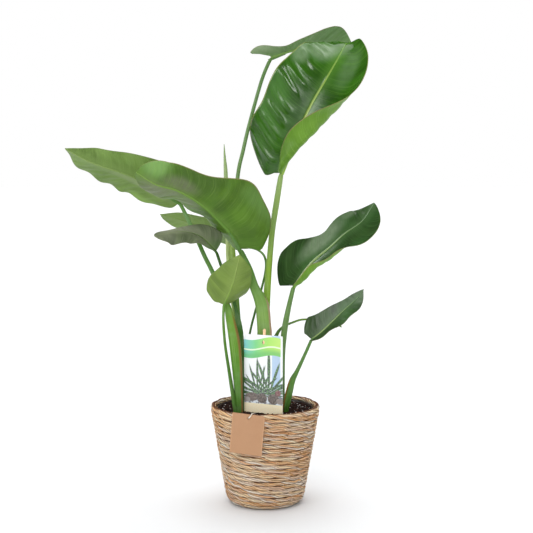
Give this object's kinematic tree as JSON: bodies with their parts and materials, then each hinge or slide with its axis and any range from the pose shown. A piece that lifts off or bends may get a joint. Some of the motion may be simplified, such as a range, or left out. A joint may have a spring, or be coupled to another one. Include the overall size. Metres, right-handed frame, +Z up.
{
  "type": "potted bird of paradise plant in a basket",
  "caption": "Potted bird of paradise with paddle leaves on long stalks, in a nursery pot standing in a round woven rope basket, with a plant label and a hanging tag.",
  "frame": {"origin": "centre of the basket's foot, on the surface that it stands on", "axes": "+Z up along the basket's axis; -Y towards the viewer, the side with the label card and the hanging tag; +X to the viewer's right"},
  "size_m": [0.541, 0.2682, 0.8551],
  "materials": {
    "seagrass": "twisted straw-coloured plant fibre rope, matte, with pinkish and golden strands and dark gaps between the rows",
    "pot_plastic": "thin black moulded nursery pot",
    "potting_soil": "loose dark brown potting mix with white perlite grains",
    "petiole": "smooth fleshy yellow-green to grey-green stalk with a waxy bloom",
    "new_leaf": "pale yellow-green rolled new leaf, satin",
    "leaf": "glossy dark green upper side with slanted parallel veins and a pale midrib, matte grey-green underside",
    "pale_leaf": "satin light yellow-green blade with slanted parallel veins, lit through",
    "label_card": "coated white card with a plain printed field in pale blue and greens and a cream band along its foot",
    "label_stake": "plain light wooden stick",
    "kraft_card": "uncoated brown kraft card with a punched hole",
    "twine": "thin off-white twisted twine"
  },
  "bodies": {
    "root": {"basket": "seagrass", "nursery_pot": "pot_plastic", "soil": "potting_soil", "shoot_left": "petiole", "shoot_centre": "petiole", "shoot_right": "petiole", "spear_leaf": "new_leaf", "blade_top_front": "leaf", "blade_top_back": "leaf", "blade_left_long": "pale_leaf", "blade_left_broad": "leaf", "blade_left_behind": "pale_leaf", "blade_left_drooping": "leaf", "blade_front_round": "pale_leaf", "blade_right_upper": "leaf", "blade_right_lower": "leaf", "blade_right_behind": "leaf", "label_card": "label_card", "label_stake": "label_stake", "kraft_tag": "kraft_card", "tag_string": "twine"}
  },
  "joints": []
}
